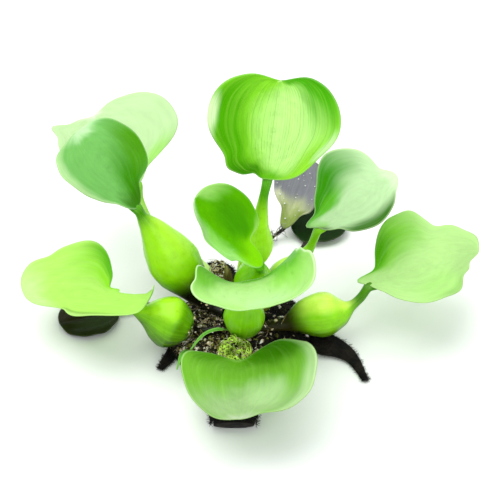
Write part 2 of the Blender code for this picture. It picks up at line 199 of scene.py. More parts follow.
def floatMaterial(name, leaf):
    # leafPlace here: foot-to-neck 0..1, then round 0..1
    look = {**freshFloat, **leaf.get("float", {})}
    material, tree = newTree(name)
    place = add(tree, "Attribute", attribute_name="leafPlace").outputs["Vector"]
    along = add(tree, "SeparateXYZ", {0: place}).outputs[0]
    spot = add(tree, "TexCoord").outputs["Object"]
    facing = add(tree, "SeparateXYZ", {0: add(tree, "NewGeometry").outputs["Normal"]}).outputs[2]
    # painted light: faces turned up take the top colour, a painted highlight (dark dirt on the bottom float),
    # faces turned down the under colour, painted shade
    colour = blend(tree, ramp(tree, facing, 0.45, 1.0), paint(look["side"]), paint(look["top"]))
    low = ramp(tree, facing, -1.0, look["shadeReach"], 1.0, 0.0)
    colour = blend(tree, low, colour, paint(look["under"]))
    colour = tinted(tree, colour, along, look["neckStart"], look["neckStart"] + 0.2, 1.0, look["neck"])
    stripe = cloud(tree, place, 1.0, 3.0, (2.5, 46, 0))
    colour = tinted(tree, colour, stripe, 0.4, 0.8, 0.45, look["stripe"])
    # the dark foot: the stalk base's own brown and painted shade where it sits among the roots
    foot = ramp(tree, along, look["footEnd"] * look["footFull"], look["footEnd"], 1.0, 0.0)
    colour = blend(tree, foot, colour, paint(look["foot"]))
    mottle = cloud(tree, spot, 260.0, 5.0)
    colour = mottled(tree, colour, mottle, 0.4, (140, 150, 90), (255, 255, 230))
    colour = tinted(tree, colour, cloud(tree, spot, 900.0, 2.0), 0.68, 0.74, look["specks"], (90, 80, 20))
    roughness = plus(tree, times(tree, mottle, 0.25), 0.18)
    height = plus(tree, times(tree, stripe, 0.7), times(tree, mottle, 0.5))
    finishShader(tree, colour, roughness, height, 0.35, look["gloss"], look["coat"])
    return material


plainFibre = {"patchScale": 420, "flecks": 0.2, "roughness": 0.5}


def fibreMaterial(name, look):
    look = {**plainFibre, **look}
    material, tree = newTree(name)
    spot = add(tree, "TexCoord").outputs["Object"]
    broad = ramp(tree, cloud(tree, spot, look["patchScale"], 4.0), 0.42, 0.62)
    colour = blend(tree, broad, paint(look["dark"]), paint(look["light"]))
    colour = tinted(tree, colour, cloud(tree, spot, 1500.0, 2.0), 0.6, 0.7, look["flecks"], look["fleck"])
    grain = cloud(tree, spot, 2200.0, 4.0)
    roughness = plus(tree, times(tree, grain, 0.3), look["roughness"])
    finishShader(tree, colour, roughness, grain, 0.25, gloss=0.25)
    return material


# shape helpers

def curveThrough(a, b, c, d, t):
    # the smooth curve from b to c, with a before them and d after
    return 0.5 * (2 * b + (c - a) * t + (2 * a - 5 * b + 4 * c - d) * t ** 2
                  + (3 * b - a - 3 * c + d) * t ** 3)


def smoothRound(values, place):
    first = np.floor(place).astype(int)
    return curveThrough(*(values[(first + step) % len(values)] for step in (-1, 0, 1, 2)), place - first)


def smoothPath(stations, count):
    ends = np.array([stations[0], *stations, stations[-1]], float)
    place = np.linspace(0, len(stations) - 1, count)
    first = np.minimum(place.astype(int), len(stations) - 2)
    return curveThrough(*(ends[first + step] for step in range(4)), (place - first)[:, None])


def unit(vectors):
    return vectors / np.maximum(np.linalg.norm(vectors, axis=-1, keepdims=True), 1e-9)


def discFaces(start, rings, spokes):
    # a centre point, then rings of points outward
    faces = []
    for j in range(spokes):
        after = (j + 1) % spokes
        faces.append((start, start + 1 + j, start + 1 + after))
        for k in range(rings - 1):
            a = start + 1 + k * spokes
            faces.append((a + j, a + spokes + j, a + spokes + after, a + after))
    return faces


def tubeFaces(start, rings, sides):
    # rings of points along a tube, closed at both ends
    last = start + (rings - 1) * sides
    faces = [tuple(range(start + sides - 1, start - 1, -1)), tuple(range(last, last + sides))]
    for a in range(start, last, sides):
        for k in range(sides):
            after = (k + 1) % sides
            faces.append((a + k, a + after, a + sides + after, a + sides + k))
    return faces


def makeObject(name, verts, faces, material, places=None, smooth=True):
    mesh = bpy.data.meshes.new(name)
    mesh.from_pydata([tuple(v) for v in np.asarray(verts) * mm], [], faces)
    if places is not None:
        store = mesh.attributes.new("leafPlace", "FLOAT_VECTOR", "POINT")
        store.data.foreach_set("vector", np.asarray(places, np.float32).ravel())
    mesh.materials.append(material)
    if smooth:
        mesh.shade_smooth()
    mesh.validate()
    made = bpy.data.objects.new(name, mesh)
    bpy.context.scene.collection.objects.link(made)
    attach(made, "root")
    return made


def bladeLength(leaf):
    return leaf["radii"][0] + leaf["radii"][6]


def walkMidrib(leaf, steps=48):
    # points and directions along the midrib, which bends evenly and curls near the stalk
    heading = radians(leaf["heading"])
    way = np.arange(steps + 1) / steps
    curl = leaf["curl"] * np.maximum(1 - way / 0.25, 0) ** 2
    rise = np.radians(leaf["pitch"] + leaf["bend"] * way ** 1.5 - curl)
    aheads = np.stack([np.cos(rise) * cos(heading), np.cos(rise) * sin(heading), np.sin(rise)], 1)
    walked = np.cumsum([(0, 0, 0), *aheads[:-1]], axis=0) * bladeLength(leaf) / steps
    return np.array(leaf["base"], float) + walked, aheads


def alongTable(table, place):
    grid = np.linspace(0, 1, len(table))
    return np.stack([np.interp(place, grid, table[:, axis]) for axis in range(3)], axis=-1)


def sideways(leaf, ahead):
    # across the blade to its right: level, but for the leaf's roll
    heading, roll = radians(leaf["heading"]), radians(leaf["roll"])
    level = np.broadcast_to(np.array((sin(heading), -cos(heading), 0.0)), ahead.shape)
    return level * cos(roll) + np.cross(level, ahead) * sin(roll)


def bladeSurface(leaf, share, angle):
    # share runs from 0 in the middle of the blade to 1 at its margin, angle from the stalk round
    radii = np.array(leaf["radii"], float)
    margin = smoothRound(radii, angle / 360 * len(radii))
    for earAngle, earReach, earSpread in leaf["ears"]:
        off = (angle - earAngle + 180) % 360 - 180
        margin = margin + earReach * np.exp(-(off / earSpread) ** 2)
    reach = share * (radii.mean() + (margin - radii.mean()) * share)
    turn = np.radians(angle)
    along, across = radii[0] - reach * np.cos(turn), reach * np.sin(turn)
    length = bladeLength(leaf)
    place = np.clip(along / length, 0, 1)
    spots, aheads = walkMidrib(leaf)
    ahead = unit(alongTable(aheads, place))
    spot = alongTable(spots, place) + ahead * (along - place * length)[..., None]
    side = sideways(leaf, ahead)
    up = np.cross(side, ahead)
    leftCup, rightCup = leaf["cup"]
    half = np.where(across >= 0, radii[3], radii[9])
    cup = np.radians(np.where(across >= 0, rightCup, leftCup)) * (1 - leaf["cupFade"] * place)
    arc = np.maximum(cup * np.abs(across) / half, 1e-6)
    chord = across * np.sin(arc) / arc
    lift = np.abs(across) * (1 - np.cos(arc)) / arc
    return spot + side * chord[..., None] + up * lift[..., None], up


def buildBlade(name, leaf, material, rings=34, spokes=132):
    share = (np.arange(1, rings + 1) / rings)[:, None] * np.ones(spokes)
    angle = np.arange(spokes) * (360 / spokes) * np.ones((rings, 1))
    points, up = bladeSurface(leaf, share, angle)
    centre, centreUp = (value[0, 0] for value in bladeSurface(leaf, np.zeros((1, 1)), np.zeros((1, 1))))

    # leaf places: lines of equal v run from stalk to tip as the veins do
    turn = np.radians(angle)
    x, y = -share * np.cos(turn), share * np.sin(turn)
    u = np.arccos(np.clip(-x, -1, 1)) / pi
    v = np.clip(y / np.sqrt(np.maximum(1 - x * x, 1e-4)), -1, 1)

    # uneven surface: pleats along the veins, a wavy margin, a crease at the midrib, soft lumps
    seed = leaf["seed"]
    fade = np.sin(pi * u)
    wave = leaf["wave"] * share ** 4 * (np.sin(5 * turn + seed) + 0.6 * np.sin(9 * turn + 2 * seed))
    pleat = leaf["pleat"] * fade * np.sin(v * 13 + seed) * share
    crease = -leaf["crease"] * np.exp(-(v / leaf["creaseWidth"]) ** 2) * fade
    lumps = np.array([[noise.noise(Vector(p) / leaf["lumpSize"] + Vector((seed, 0, 0))) for p in row]
                      for row in points])
    points = points + up * (wave + pleat + crease + leaf["lumps"] * lumps * share)[..., None]

    # two skins, thinner towards the margin
    around = np.roll(points, -1, axis=1) - np.roll(points, 1, axis=1)
    normal = unit(np.cross(np.gradient(points, axis=0), around))
    normal = normal * np.sign((normal * up).sum(-1, keepdims=True).mean())
    half = (leaf["thick"] * (1 - leaf["thinning"] * share ** 2) / 2)[..., None]
    centreHalf = centreUp * leaf["thick"] / 2
    verts = [centre + centreHalf, *(points + normal * half).reshape(-1, 3),
             centre - centreHalf, *(points - normal * half).reshape(-1, 3)]
    flat = np.stack([u, v, share], axis=-1).reshape(-1, 3)
    places = [(0.5, 0, 0.001), *flat, (0.5, 0, -0.001), *(flat * (1, 1, -1))]
    second = 1 + rings * spokes
    outer = second - spokes
    faces = discFaces(0, rings, spokes) + [face[::-1] for face in discFaces(second, rings, spokes)]
    for j in range(spokes):
        after = (j + 1) % spokes
        faces.append((outer + j, second + outer + j, second + outer + after, outer + after))
    return makeObject(name, verts, faces, material, places)


def loftTube(path, sides, ripple, seed):
    # rings round a path whose points carry x, y, z, radius
    path = np.asarray(path, float)
    aheads = unit(np.gradient(path[:, :3], axis=0))
    slant = (0.31, 0.17, 0.93)  # a direction that no stalk follows
    side = np.cross(aheads[0], slant)
    verts, places = [], []
    for index, (station, ahead) in enumerate(zip(path, aheads)):
        spot, radius = station[:3], station[3]
        side = side - ahead * side.dot(ahead)
        side /= np.linalg.norm(side)
        other = np.cross(ahead, side)
        for k in range(sides):
            turn = k * (2 * pi / sides)
            outward = side * cos(turn) + other * sin(turn)
            lump = noise.noise(Vector(spot + outward * radius) / 6 + Vector((seed, 0, 0)))
            bumps = 1 + ripple * (sin(7 * turn + seed) * 0.6 + lump)
            verts.append(spot + outward * radius * bumps)
            places.append((index / (len(path) - 1), k / sides, 0))
    return np.array(verts), tubeFaces(0, len(path), sides), places


def buildFloat(name, leaf, material, keel=16, rings=56, sides=40, keelSteps=8, flatRings=11):
    # the stalk runs on under the blade as a keel that thins out
    stalk = smoothPath(leaf["stalk"], rings)
    spots, aheads = walkMidrib(leaf)
    neck = leaf["stalk"][-1][3]
    side = sideways(leaf, aheads[0])
    under = []
    for share in np.arange(1, keelSteps + 1) / keelSteps:
        place = (leaf["join"] + keel * share) / bladeLength(leaf)
        spot, ahead = alongTable(spots, place), alongTable(aheads, place)
        radius = neck * (1 - share) ** 0.8 + 0.3
        under.append((*(spot - np.cross(side, ahead) * (radius * 0.7 + 0.6)), radius))
    path = np.array([*stalk[:-1], *under])
    smoothed = path.copy()
    for _ in range(4):
        smoothed[1:-1] = (smoothed[:-2] + 2 * smoothed[1:-1] + smoothed[2:]) / 4
    path[rings - keelSteps:-1] = smoothed[rings - keelSteps:-1]
    verts, faces, places = loftTube(path, sides, leaf["ripple"], leaf["seed"])

    # towards the blade the stalk grows wide and flat
    offset = verts.reshape(len(path), sides, 3) - path[:, None, :3]
    up = unit(np.cross(side, np.gradient(path[:, :3], axis=0)))[:, None]
    spread = np.clip((np.arange(len(path)) - rings + flatRings) / flatRings, 0, 1)[:, None, None] ** 1.6
    wider = (offset @ side)[..., None] * side * leaf["flare"]
    flatter = (offset * up).sum(-1, keepdims=True) * up * 0.35
    verts = (path[:, None, :3] + offset + (wider - flatter) * spread).reshape(-1, 3)
    return makeObject(name, verts, faces, material, places)


def addFibre(store, points, thickness, taper=0.35):
    # a three-sided tube through the points, appended to the store of vertices and faces
    verts, faces = store
    last = len(points) - 1
    faces += tubeFaces(len(verts), len(points), 3)
    for index, point in enumerate(points):
        ahead = points[min(index + 1, last)] - points[max(index - 1, 0)]
        side = ahead.cross(Vector((0.2, 0.1, 1.0)))
        side = side.normalized() if side.length > 1e-6 else Vector((1, 0, 0))
        other = ahead.cross(side).normalized()
        width = thickness * (1 - (1 - taper) * index / last)
        for turn in (0.0, 2.094, 4.189):  # a third of a turn apart
            verts.append(point + side * cos(turn) * width + other * sin(turn) * width)


def addCrumb(store, spot, sizes, dice):
    # an uneven pebble with eight faces, mostly near the least of its sizes
    least, extra = sizes
    size = least + extra * dice.random() ** 2
    verts, faces = store
    start = len(verts)
    turn = dice.random() * pi
    for x, y, z in ((1, 0, 0), (0, 1, 0), (-1, 0, 0), (0, -1, 0), (0, 0, 0.8), (0, 0, -0.8)):
        stretch = 0.6 + 0.8 * dice.random()
        verts.append(spot + Vector((x * cos(turn) - y * sin(turn),
                                    x * sin(turn) + y * cos(turn), z)) * size * stretch)
    for a, b in ((0, 1), (1, 2), (2, 3), (3, 0)):
        faces.append((start + a, start + b, start + 4))
        faces.append((start + b, start + a, start + 5))


def storeObject(name, store, material, smooth=True):
    verts, faces = store
    return makeObject(name, verts, faces, material, smooth=smooth)


# camera, light and floor

studio = {
    "target": (0.0055, 0.0318, 0.0379), "distance": 0.75, "tilt": 50, "lens": 98.2, "sensor": 36,
    "sky": (0.93, 0.97, 1.0, 1), "skyStrength": 0.85, "floor": (240, 240, 238), "floorHalf": 3,
    # place, size and power
    "lights": {"keyLight": ((-0.35, 0.35, 1.3), 1.6, 23.0), "fillLight": ((0.6, -0.9, 0.8), 1.2, 6.0)},
}


def buildStudio():
    scene = bpy.context.scene
    scene.view_settings.view_transform = "Standard"
    camera = bpy.data.objects.new("camera", bpy.data.cameras.new("camera"))
    scene.collection.objects.link(camera)
    tilt = radians(studio["tilt"])
    target = Vector(studio["target"])
    camera.location = target + studio["distance"] * Vector((0, -sin(tilt), cos(tilt)))
    camera.rotation_euler = (tilt, 0, 0)
    camera.data.lens = studio["lens"]
    camera.data.sensor_width = studio["sensor"]
    scene.camera = camera

    world = bpy.data.worlds.new("sky")
    world.use_nodes = True
    background = world.node_tree.nodes["Background"]
    background.inputs["Color"].default_value = studio["sky"]
    background.inputs["Strength"].default_value = studio["skyStrength"]
    scene.world = world

    for name, (place, size, power) in studio["lights"].items():
        lamp = bpy.data.lights.new(name, "AREA")
        lamp.size = size
        lamp.energy = power
        light = bpy.data.objects.new(name, lamp)
        light.location = place
        light.rotation_euler = (target - Vector(place)).to_track_quat("-Z", "Y").to_euler()
        scene.collection.objects.link(light)

    material, tree = newTree("paleFloor")
    spot = add(tree, "TexCoord").outputs["Object"]
    grain = cloud(tree, spot, 40.0)
    darker = tuple(c - 5 for c in studio["floor"])
    colour = blend(tree, grain, paint(darker), paint(studio["floor"]))
    finishShader(tree, colour, plus(tree, times(tree, grain, 0.1), 0.7), grain, 0.05)
    half = studio["floorHalf"]
    mesh = bpy.data.meshes.new("floor")
    mesh.from_pydata([(-half, -half, 0), (half, -half, 0), (half, half, 0), (-half, half, 0)], [],
                     [(0, 1, 2, 3)])
    mesh.materials.append(material)
    floor = bpy.data.objects.new("floor", mesh)
    floor.location.z = -0.0001
    scene.collection.objects.link(floor)


buildStudio()
print("camera, light and floor")


# live leaves
# radii go round the blade from the stalk, cup is its left and right half, ears are lobes as angle, reach
# and spread, stalk gives x, y, z and radius; patches are (along, across), their half sizes, colour, strength

# pale whitish patches are painted sky sheen and highlights, the green ones each leaf's own colour zones
leafShape = {"bend": 0, "roll": 0, "curl": 0, "join": 0, "ears": (), "cupFade": 0.4, "lumps": 0.7,
             "lumpSize": 13, "creaseWidth": 0.07, "thinning": 0.55}
freshShape = {**leafShape, "thick": 1.0, "wave": 0.35, "pleat": 0.1, "crease": 0.35, "ripple": 0.03,
              "flare": 0.9}


def buildLeaf(name, leaf):
    whole = {**freshShape, **leaf}
    blade = buildBlade(name + "Blade", whole, leafMaterial(name + "BladeSkin", leaf))
    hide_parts("blade_" + leaf["node"])
    swollen = buildFloat(name + "Float", whole, floatMaterial(name + "FloatSkin", leaf))
    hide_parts("float_" + leaf["node"])
    print("leaf", name)


topLeaf = {
    "node": "top", "slot": "blade_lime", "seed": 1.3, "wave": 0.5, "pleat": 0.2,
    "base": (14.5, 17.5, 97), "heading": 80.5, "pitch": 44, "bend": -8, "cup": (22, 25),
    "radii": (26, 27.5, 28.5, 35, 35.7, 33.8, 27.5, 33.5, 36.8, 34.6, 28.8, 28.7),
    "ears": ((316, 2.3, 8), (342, -3, 8)),
    "stalk": ((0, 15, 18, 3.6), (4, 25, 31, 5.5), (9.3, 25.5, 46, 8.6), (10.5, 23, 62, 5),
              (12.3, 18.5, 83, 2.6), (14.5, 17.5, 97, 2.2)),
    "flare": 0.3,
    "float": {"side": (188, 252, 46), "top": (196, 252, 84), "neck": (66, 152, 0), "neckStart": 0.58},
    "blade": {
        "base": (134, 214, 44), "veinDepth": 0.26, "veins": 20, "veinTint": (66, 150, 0), "streaks": 0.25,
        "streakTint": (184, 236, 90), "shades": 0.34, "relief": 0.8,
    },
    "patches": (
        ((0.5, 0.28), (0.4, 0.6), (200, 248, 148), 0.97),
        ((0.45, -0.78), (0.5, 0.36), (78, 170, 0), 0.97),
        ((0.76, 0.82), (0.26, 0.4), (66, 168, 0), 0.97),
        ((0.9, 0.6), (0.1, 0.5), (62, 158, 0), 0.9),
        ((0.25, 0.85), (0.2, 0.3), (150, 228, 50), 0.8),
        ((0.16, -0.6), (0.13, 0.6), (50, 130, 0), 0.95),
        ((0.06, 0.1), (0.16, 0.6), (92, 184, 0), 0.92),
        ((0.95, -0.4), (0.09, 0.3), (110, 190, 20), 0.7),
        ((0.96, 0), (0.07, 0.2), (214, 244, 176), 0.8),
        # painted highlights along the left and right edges
        ((0.55, -0.97), (0.12, 0.1), (230, 250, 205), 0.9),
        ((0.42, 0.97), (0.09, 0.1), (215, 245, 190), 0.7),
    ),
}
buildLeaf("top", topLeaf)

upperLeftLeaf = {
    "node": "upper_left", "slot": "blade_deep", "seed": 2.1, "wave": 0.4,
    "base": (-54, 24.5, 73), "heading": 140, "pitch": 42, "bend": -16, "cup": (40, 45),
    "radii": (27, 19, 22, 24, 26.5, 28, 25.2, 25.3, 30.5, 31, 24, 21.5),
    "ears": ((260, 1.8, 10),),
    "stalk": ((-8.5, 5, 15.5, 2.6), (-17, 11, 17.5, 4.6), (-29.5, 19.5, 29, 12), (-37.3, 22.5, 40, 14.2),
              (-46.3, 25, 57, 7.5), (-52, 25, 67, 3), (-54, 24.5, 73, 2.2)),
    "float": {"foot": (24, 24, 8), "footEnd": 0.35, "footFull": 0.65, "side": (156, 228, 4),
              "under": (44, 100, 0), "shadeReach": 0.3, "neck": (62, 140, 6), "neckStart": 0.6},
    "blade": {"base": (122, 192, 100), "streaks": 0.12, "streakTint": (150, 210, 130), "veinDepth": 0.04},
    "patches": (
        ((0.24, 0.5), (0.34, 0.66), (62, 144, 0), 0.98),
        ((0.5, 0.85), (0.22, 0.36), (78, 154, 0), 0.95),
        ((0.12, 0.2), (0.16, 0.9), (56, 122, 0), 0.95),
        # pale tip and left margin: painted highlights
        ((0.92, 0.3), (0.15, 1.3), (204, 240, 192), 0.9),
        ((0.4, -0.97), (0.5, 0.16), (192, 228, 168), 0.85),
    ),
}
buildLeaf("upperLeft", upperLeftLeaf)

backLeftLeaf = {
    "node": "back_left", "slot": "blade_pale", "seed": 3.4, "wave": 0.5,
    "base": (-58, 69, 55), "heading": 122, "pitch": 22, "bend": -6, "cup": (15, 25),
    "radii": (27, 22, 27, 41, 44.5, 37.5, 26.3, 29, 32.5, 31, 27, 24),
    "ears": ((225, 7, 8),),
    "stalk": ((-5, 10.5, 12, 2.6), (-11, 26, 15.5, 3.8), (-24, 39, 18.5, 5.5), (-40, 49, 25, 8),
              (-52, 57, 34, 5), (-57, 65, 46, 2.8), (-58, 69, 55, 2.3)),
    "float": {"foot": (70, 80, 14), "footEnd": 0.3, "side": (170, 226, 90), "top": (205, 242, 140)},
    "blade": {
        "base": (198, 228, 176), "streaks": 0.15, "streakTint": (214, 240, 196),
        "veinTint": (150, 215, 110), "veinDepth": 0.05,
    },
    "patches": (
        ((0.3, 0.9), (0.16, 0.35), (160, 226, 90), 0.8),
        ((0.95, -0.2), (0.1, 1.3), (236, 244, 228), 0.8),
        ((0.1, 0), (0.15, 0.8), (150, 220, 90), 0.7),
    ),
}
buildLeaf("backLeft", backLeftLeaf)

backRightLeaf = {
    "node": "back_right", "slot": "blade_mint", "seed": 4.2, "wave": 0.35,
    "base": (43, 38, 49), "heading": 22, "pitch": 26, "cup": (45, 20),
    "radii": (26, 20.5, 23, 26.7, 24.3, 22.3, 25.5, 23.7, 33, 36, 27.8, 25),
    "ears": ((350, 6, 7),),
    "stalk": ((9.5, 7, 15.5, 3), (15.5, 14, 18, 4.6), (23, 24.5, 24.5, 8.2), (31.5, 32.5, 27.5, 6.2),
              (38.8, 37, 35.5, 2.6), (43, 38, 49, 2.2)),
    # the mint base is partly a painted soft highlight over the blade's pale tone
    "blade": {
        "base": (198, 230, 182), "rimPale": 0.4, "streaks": 0.1, "streakTint": (222, 248, 214),
        "veinTint": (150, 212, 130), "veinDepth": 0.03,
    },
    "float": {"neck": (122, 192, 16), "neckStart": 0.55},
    "patches": (
        ((0.28, -0.86), (0.36, 0.5), (60, 150, 0), 1.0),
        ((0.26, -0.44), (0.22, 0.26), (96, 188, 10), 0.9),
        ((0.5, 0.97), (0.3, 0.34), (56, 116, 14), 0.97),
        ((0.04, 0.4), (0.12, 0.8), (48, 86, 10), 0.8),
        ((0.12, 0), (0.1, 0.35), (160, 222, 116), 0.7),
        ((0.9, 0), (0.14, 1.3), (230, 246, 216), 0.7),
    ),
}
buildLeaf("backRight", backRightLeaf)

rightLeaf = {
    "node": "right", "slot": "blade_pale", "seed": 5.7, "wave": 0.4,
    "base": (70, 9, 33), "heading": 18, "pitch": 8, "bend": -8, "cup": (45, 15),
    "radii": (25.5, 22.8, 26, 30, 30.5, 27.8, 39.5, 41.5, 35.8, 36, 26, 21),
    "ears": ((350, 7, 7), (250, 3, 10), (226, -4, 9), (197, 3.5, 9), (170, -4, 8)),
    "stalk": ((11, -3, 12.5, 2.6), (24, -2, 14, 4), (35.5, 0, 17, 10), (46, 1, 18.5, 12.2),
              (54, 2, 19.5, 8.6), (60, 3.2, 22.3, 3.2), (66, 6, 27, 2.4), (70, 9, 33, 2.2)),
    "blade": {
        "base": (190, 232, 150), "streakTint": (208, 242, 174), "veinTint": (130, 206, 70), "veinDepth": 0.06,
        "streaks": 0.15,
    },
    "float": {"foot": (44, 42, 8), "footEnd": 0.3, "footFull": 0.5, "top": (214, 252, 96),
              "neck": (50, 114, 0), "neckStart": 0.55, "under": (18, 50, 0), "shadeReach": 0.62},
    "patches": (
        ((0.36, -0.78), (0.3, 0.55), (132, 212, 48), 0.9),
        ((0.26, -0.8), (0.2, 0.3), (88, 180, 0), 0.97),
        ((0.62, 0.7), (0.22, 0.5), (168, 224, 120), 0.6),
        ((0.86, 0.3), (0.18, 1.0), (166, 204, 132), 0.7),
        ((0.66, 0.97), (0.14, 0.2), (150, 200, 110), 0.7),
    ),
}
buildLeaf("right", rightLeaf)

leftLeaf = {
    "node": "left", "slot": "blade_lime", "seed": 6.1, "wave": 0.35,
    "base": (-46, -5, 41), "heading": 171, "pitch": -1, "bend": -8, "cup": (42, 38),
    "radii": (42, 16, 22.5, 36, 39.5, 44, 34, 19.8, 15.5, 22.5, 28, 33),
    "ears": ((0, 5, 5), (12, -12, 8), (134, -3, 9), (346, 3, 7)),
    "curl": 80, "join": 14,
    "stalk": ((-9.5, -3, 12, 2.6), (-20, -5, 10.5, 2.6), (-26, -6, 12.5, 4),
              (-31, -6.2, 15.5, 10.4), (-38, -6, 19.2, 14.3), (-45, -6.4, 23, 10.8),
              (-51.5, -7, 26.6, 4.8), (-57, -6.5, 30.5, 2.2)),
    "blade": {
        "base": (184, 238, 108), "streakTint": (206, 246, 148), "veinTint": (120, 205, 20), "veinDepth": 0.08,
    },
    "float": {"side": (128, 208, 0), "top": (176, 240, 40), "foot": (24, 22, 8), "footEnd": 0.36,
              "footFull": 0.75, "neck": (110, 190, 10), "neckStart": 0.85, "under": (4, 22, 0),
              "shadeReach": 1.25},
    "patches": (
        ((0.3, 0.72), (0.28, 0.34), (146, 230, 16), 0.9),
        ((0.36, 0.94), (0.18, 0.2), (92, 188, 0), 0.95),
        ((0.9, 0), (0.2, 1.3), (206, 240, 164), 0.8),
        ((0.5, -0.82), (0.24, 0.2), (100, 134, 50), 0.5),
        # pale front margin: painted highlight
        ((0.5, -0.95), (0.4, 0.16), (206, 246, 150), 0.6),
    ),
}
buildLeaf("left", leftLeaf)

frontLeaf = {
    "node": "front_cup", "slot": "blade_mint", "seed": 7.9, "wave": 0.5, "thick": 1.2,
    "base": (5, -5, 47), "heading": -92, "pitch": 22.3, "roll": -2.4, "cup": (81, 51),
    "radii": (21, 20, 31.5, 29, 32.5, 25.5, 20.5, 26.5, 40.5, 42, 42, 20.5),
    "ears": ((327, 25, 14), (289, -4, 12)),
    "stalk": ((1, -8, 17.5, 3.5), (1.6, -10.5, 21, 8.5), (2.3, -11, 26.5, 11), (3.2, -9.5, 34, 9),
              (4.5, -6.5, 42, 3.2), (5, -5, 47, 2.2)),
    "blade": {
        "base": (178, 228, 132), "streaks": 0.12, "streakTint": (200, 238, 168), "veinTint": (130, 205, 90),
        "veinDepth": 0, "relief": 0, "underTint": (186, 238, 146), "underMix": 0.7,
        # the pale margin line is a painted highlight
        "rimTint": (235, 250, 215), "rimPale": 0.6,
    },
    "float": {"side": (136, 216, 2), "foot": (60, 74, 20), "top": (180, 240, 40), "under": (30, 78, 0),
              "shadeReach": 0.62},
    "patches": (
        ((0.08, 0), (0.15, 1.2), (96, 184, 0), 0.95),
        ((0.36, 0.84), (0.26, 0.36), (104, 184, 20), 0.92),
        ((0.26, -0.7), (0.16, 0.34), (96, 196, 10), 0.85),
        ((0.44, -0.62), (0.16, 0.34), (150, 222, 80), 0.7),
        ((0.6, 0), (0.2, 0.7), (196, 236, 162), 0.6),
        ((0.75, -0.4), (0.2, 0.5), (196, 232, 176), 0.6),
    ),
}
buildLeaf("front", frontLeaf)

innerLeaf = {
    "node": "inner", "slot": "blade_deep", "seed": 8.6, "wave": 0.4,
    "base": (12, -1.5, 55), "heading": 162, "pitch": 35, "bend": 24, "roll": 25, "cup": (75, 50),
    "radii": (25, 14, 18.5, 21.5, 25.5, 29, 26.5, 17, 16.3, 15.8, 15.5, 14.5),
    "stalk": ((3, 6.5, 20, 3.5), (5, 8.5, 25, 7), (6.8, 9.4, 34, 10.1), (8, 7.4, 42, 8.4),
              (10, 3, 49, 3.2), (11.7, -0.6, 53.8, 1.8)),
    "blade": {
        "base": (98, 186, 0), "streaks": 0.12, "streakTint": (110, 200, 30), "roughness": 0.24,
        "underTint": (178, 236, 136), "underMix": 0.9, "veinDepth": 0.04,
    },
    "float": {"side": (124, 206, 4), "top": (140, 216, 20), "under": (50, 104, 0), "shadeReach": 0.1},
    "patches": (
        # pale lower-left band: painted sky reflection
        ((0.32, -0.78), (0.4, 0.56), (180, 240, 140), 0.97),
        ((0.1, 0.3), (0.26, 1.1), (150, 232, 10), 0.92),
        ((0.52, 0.45), (0.22, 0.4), (72, 158, 0), 0.9),
        ((0.88, 0.75), (0.18, 0.5), (176, 230, 126), 0.85),
        ((0.94, -0.7), (0.12, 0.5), (196, 230, 172), 0.85),
        ((0.56, -0.42), (0.24, 0.26), (158, 228, 106), 0.75),
        ((0.76, -0.8), (0.16, 0.4), (178, 216, 152), 0.7),
        ((0.28, 0.97), (0.14, 0.16), (186, 236, 120), 0.8),
    ),
}
buildLeaf("inner", innerLeaf)

bottomLeaf = {
    "node": "bottom", "slot": "blade_deep", "seed": 9.2, "wave": 0.5, "pleat": 0.15,
    "base": (0.5, -41, 24.5), "heading": -90, "pitch": 20, "bend": -30, "cup": (55, 30),
    "radii": (25.5, 35.3, 34.5, 29.3, 27, 25.5, 22.8, 23, 33.5, 42, 41.5, 43),
    "ears": ((250, 2, 9), (338, 5, 9)),
    "stalk": ((-1, -8, 10, 3.2), (-2.5, -20, 11, 3.6), (-2.5, -29, 15, 9), (-1.3, -36, 19, 4),
              (0, -39.6, 22.4, 1.9)),
    "blade": {"base": (118, 184, 52), "rimPale": 0.3, "streakTint": (165, 220, 105), "veinDepth": 0.06},
    "float": {"side": (84, 116, 20), "top": (24, 26, 10), "foot": (24, 22, 10), "footEnd": 0.4,
              "specks": 0.6, "stripe": (60, 74, 16)},
    "patches": (
        ((0.22, -0.55), (0.15, 0.62), (76, 150, 0), 0.95),
        ((0.22, 0.75), (0.15, 0.4), (84, 156, 0), 0.9),
        ((0.2, 0.05), (0.12, 0.3), (110, 184, 24), 0.7),
        # pale front zones: painted sky reflection
        ((0.72, 0), (0.22, 1.3), (158, 190, 134), 0.92),
        ((0.94, 0), (0.13, 1.3), (190, 204, 176), 0.9),
        ((0.58, -0.4), (0.13, 0.32), (176, 212, 150), 0.8),
        ((0.1, 0.1), (0.08, 0.5), (150, 204, 90), 0.7),
        ((0.5, -0.97), (0.3, 0.12), (200, 228, 180), 0.7),
    ),
}
buildLeaf("bottom", bottomLeaf)


# old leaves: the withered leaf, a near-black leaf-shaped sheet lying low behind the right leaves, and a dark
# sheet under the left leaf that is its painted shadow and reflection

oldShape = {**leafShape, "thick": 0.8, "wave": 0.5, "pleat": 0.3, "crease": 0.5, "ripple": 0.08, "flare": 0.3}
oldStalk = {"dark": (22, 20, 10), "light": (62, 60, 26), "patchScale": 120, "flecks": 0.4,
            "fleck": (130, 124, 80)}


def buildOldLeaf(name, leaf):
    whole = {**oldShape, **leaf}
    blade = buildBlade(name + "Blade", whole, leafMaterial(name + "BladeSkin", leaf), rings=24, spokes=96)
    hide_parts("old_blade_" + leaf["node"])
    skin = fibreMaterial(name + "StalkSkin", oldStalk)
    stalk = buildFloat(name + "Stalk", whole, skin, keel=8, rings=40, sides=16)
    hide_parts("old_stalk_" + leaf["node"])
    print("old leaf", name)
